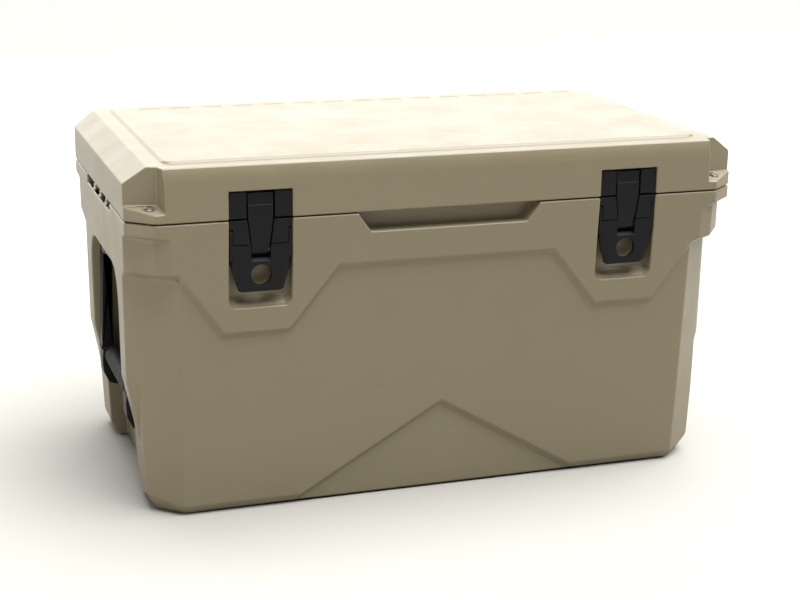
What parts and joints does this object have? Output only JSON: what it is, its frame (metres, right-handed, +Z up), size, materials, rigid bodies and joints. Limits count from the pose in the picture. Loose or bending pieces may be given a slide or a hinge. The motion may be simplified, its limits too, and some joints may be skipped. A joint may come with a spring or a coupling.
{
  "type": "cooler chest",
  "caption": "Hard-sided moulded cooler chest with a hinged foam-filled lid, two draw latches, swinging end handles and a screw drain plug.",
  "frame": {"origin": "on the floor, under the middle of the chest", "axes": "+Z up, +X along the chest towards its right end (the drain), -Y out of the front (the latches)"},
  "size_m": [0.78, 0.442, 0.4381],
  "materials": {
    "moulded_tan": "satin",
    "foam": "matte",
    "black_nylon": "satin",
    "rubber": "matte",
    "gasket": "matte",
    "stainless": "satin"
  },
  "bodies": {
    "body": {"body_shell": "moulded_tan", "body_foam_core": "foam", "body_fill_plug": "moulded_tan", "drain_sleeve": "black_nylon", "drain_nut": "black_nylon", "hinge_rod_left": "stainless", "hinge_rod_right": "stainless", "foot_front_left": "rubber", "foot_front_right": "rubber", "foot_rear_left": "rubber", "foot_rear_right": "rubber", "lock_eyelet_body_left": "stainless", "latch_base_left": "black_nylon", "base_screw_left_inner": "stainless", "base_screw_left_outer": "stainless", "handle_bolt_left_front": "stainless", "handle_bolt_left_rear": "stainless", "handle_spacer_left_front": "black_nylon", "handle_spacer_left_rear": "black_nylon", "lock_eyelet_body_right": "stainless", "latch_base_right": "black_nylon", "base_screw_right_inner": "stainless", "base_screw_right_outer": "stainless", "handle_bolt_right_front": "stainless", "handle_bolt_right_rear": "stainless", "handle_spacer_right_front": "black_nylon", "handle_spacer_right_rear": "black_nylon"},
    "lid": {"lid_shell": "moulded_tan", "lid_foam_core": "foam", "lid_gasket": "gasket", "lid_fill_plug": "moulded_tan", "lock_eyelet_lid_left": "stainless", "latch_keeper_left": "black_nylon", "keeper_screw_left_inner": "stainless", "keeper_screw_left_outer": "stainless", "lock_eyelet_lid_right": "stainless", "latch_keeper_right": "black_nylon", "keeper_screw_right_inner": "stainless", "keeper_screw_right_outer": "stainless"},
    "latch_lever_left": {"latch_lever_left": "black_nylon", "latch_link_pin_left": "stainless", "latch_pivot_pin_left_inner": "stainless", "latch_pivot_pin_left_outer": "stainless"},
    "latch_link_left": {"latch_link_left": "black_nylon"},
    "handle_left": {"handle_bail_left": "black_nylon", "handle_grip_left": "rubber"},
    "latch_lever_right": {"latch_lever_right": "black_nylon", "latch_link_pin_right": "stainless", "latch_pivot_pin_right_inner": "stainless", "latch_pivot_pin_right_outer": "stainless"},
    "latch_link_right": {"latch_link_right": "black_nylon"},
    "handle_right": {"handle_bail_right": "black_nylon", "handle_grip_right": "rubber"},
    "drain_travel": {"drain_seal": "rubber"},
    "drain_plug": {"drain_plug": "black_nylon"}
  },
  "joints": [
    {"name": "lid_hinge", "type": "hinge", "parent": "body", "child": "lid", "pos_m": [0, 0.2135, 0.3721], "axis": [-1, 0, 0], "range_deg": [0, 97]},
    {"name": "latch_left", "type": "hinge", "parent": "body", "child": "latch_lever_left", "pos_m": [-0.235, -0.2145, 0.3561], "axis": [-1, 0, 0], "range_deg": [0, 85]},
    {"name": "latch_draw_left", "type": "hinge", "parent": "latch_lever_left", "child": "latch_link_left", "pos_m": [-0.235, -0.211, 0.3331], "axis": [-1, 0, 0], "range_deg": [-112, 0]},
    {"name": "handle_left_swing", "type": "hinge", "parent": "body", "child": "handle_left", "pos_m": [-0.3685, 0, 0.2721], "axis": [0, 1, 0], "range_deg": [0, 95]},
    {"name": "latch_right", "type": "hinge", "parent": "body", "child": "latch_lever_right", "pos_m": [0.235, -0.2145, 0.3561], "axis": [-1, 0, 0], "range_deg": [0, 85]},
    {"name": "latch_draw_right", "type": "hinge", "parent": "latch_lever_right", "child": "latch_link_right", "pos_m": [0.235, -0.211, 0.3331], "axis": [-1, 0, 0], "range_deg": [-112, 0]},
    {"name": "handle_right_swing", "type": "hinge", "parent": "body", "child": "handle_right", "pos_m": [0.3685, 0, 0.2721], "axis": [0, -1, 0], "range_deg": [0, 95]},
    {"name": "drain_travel", "type": "slide", "parent": "body", "child": "drain_travel", "axis": [1, 0, 0], "range_m": [0, 0.0092]},
    {"name": "drain_turn", "type": "hinge", "parent": "drain_travel", "child": "drain_plug", "pos_m": [0.346, 0, 0.0625], "axis": [-1, 0, 0], "range_deg": [0, 1080]}
  ],
  "couplings": [
    {"joint": "latch_draw_left", "follows": "latch_left", "ratio": -1.3},
    {"joint": "latch_draw_right", "follows": "latch_right", "ratio": -1.3},
    {"joint": "drain_travel", "follows": "drain_turn", "m_per_rad": 0.0004775}
  ]
}
